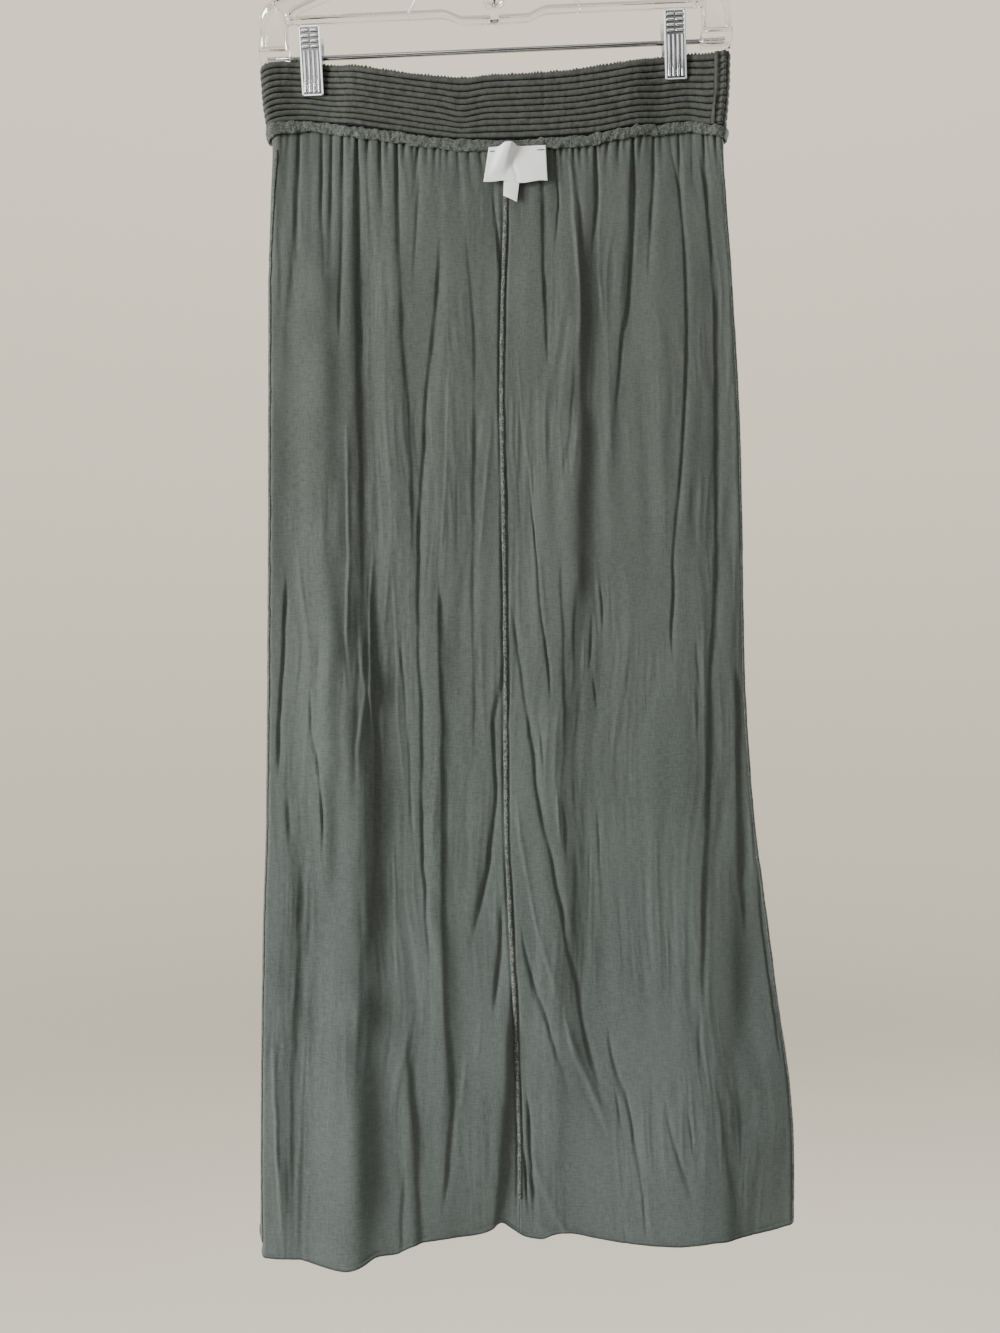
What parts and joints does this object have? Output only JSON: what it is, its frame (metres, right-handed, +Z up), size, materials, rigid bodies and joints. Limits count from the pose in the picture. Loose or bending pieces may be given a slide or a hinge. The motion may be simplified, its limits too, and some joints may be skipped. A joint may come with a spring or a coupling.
{
  "type": "maxi skirt on a clip hanger",
  "caption": "Long gathered skirt of thin woven cloth with a ribbed waistband, hung inside out by the waist from a clear clip hanger.",
  "frame": {"origin": "the underside of the hook's round, where the hanger hangs on a rail", "axes": "+Z up; -Y towards the back of the skirt, with its label and centre seam; +X to the right of someone who faces that side, which is the wearer's left"},
  "size_m": [0.4385, 0.0644, 1.1558],
  "materials": {
    "sage_cloth": "thin matt weave",
    "ribbed_band": "corded elastic",
    "overlock": "thread",
    "white_satin": "satin",
    "clear_plastic": "clear",
    "chrome": "bright"
  },
  "bodies": {
    "root": {"back_panel_left": "sage_cloth", "back_panel_right": "sage_cloth", "front_panel": "sage_cloth", "waistband": "ribbed_band", "waistband_seam": "ribbed_band", "waist_seam": "overlock", "centre_back_seam": "overlock", "side_seam_left": "overlock", "side_seam_right": "overlock", "main_label": "white_satin", "size_tab": "white_satin", "hanger_frame": "clear_plastic", "hanger_bar": "chrome", "hanger_hook": "chrome", "clip_left_front": "chrome", "clip_left_back": "chrome", "clip_left_spring": "chrome", "clip_right_front": "chrome", "clip_right_back": "chrome", "clip_right_spring": "chrome"}
  },
  "joints": []
}
